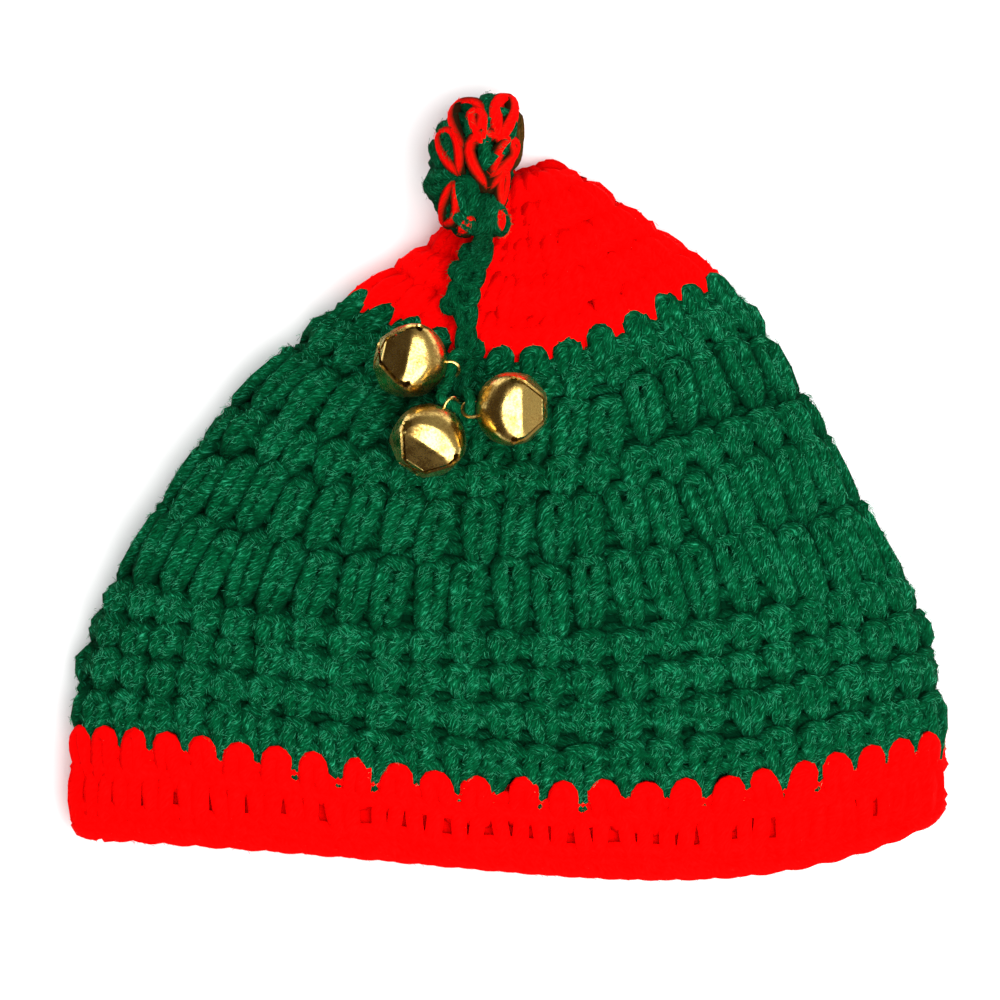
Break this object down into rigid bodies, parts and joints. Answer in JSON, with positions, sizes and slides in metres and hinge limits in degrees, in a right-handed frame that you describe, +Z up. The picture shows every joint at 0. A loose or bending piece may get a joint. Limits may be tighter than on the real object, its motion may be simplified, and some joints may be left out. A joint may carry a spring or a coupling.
{
  "type": "christmas beanie",
  "caption": "Crocheted baby beanie lying flat: red band, green cone, red crown, two-colour topknot and a chain cord with gold jingle bells on the front; keeps a baby's head warm.",
  "frame": {"origin": "under the middle of the hat's outline, on the surface that it lies on", "axes": "+X across the hat from the left fold to the right fold as seen from above, +Y from the mouth to the tip, +Z up out of the front that carries the bells"},
  "size_m": [0.1756, 0.156, 0.0407],
  "materials": {
    "red_yarn": "matte",
    "green_yarn": "matte",
    "knot_yarn": "matte",
    "gold": "polished",
    "pellet_steel": "plain"
  },
  "bodies": {
    "root": {"red_band": "red_yarn", "green_body": "green_yarn", "red_crown": "red_yarn", "topknot": "knot_yarn", "cord": "green_yarn", "bell_tie": "green_yarn", "bell_1": "gold", "bell_2": "gold", "bell_3": "gold", "bell_1_pellet": "pellet_steel", "bell_2_pellet": "pellet_steel", "bell_3_pellet": "pellet_steel"}
  },
  "joints": []
}
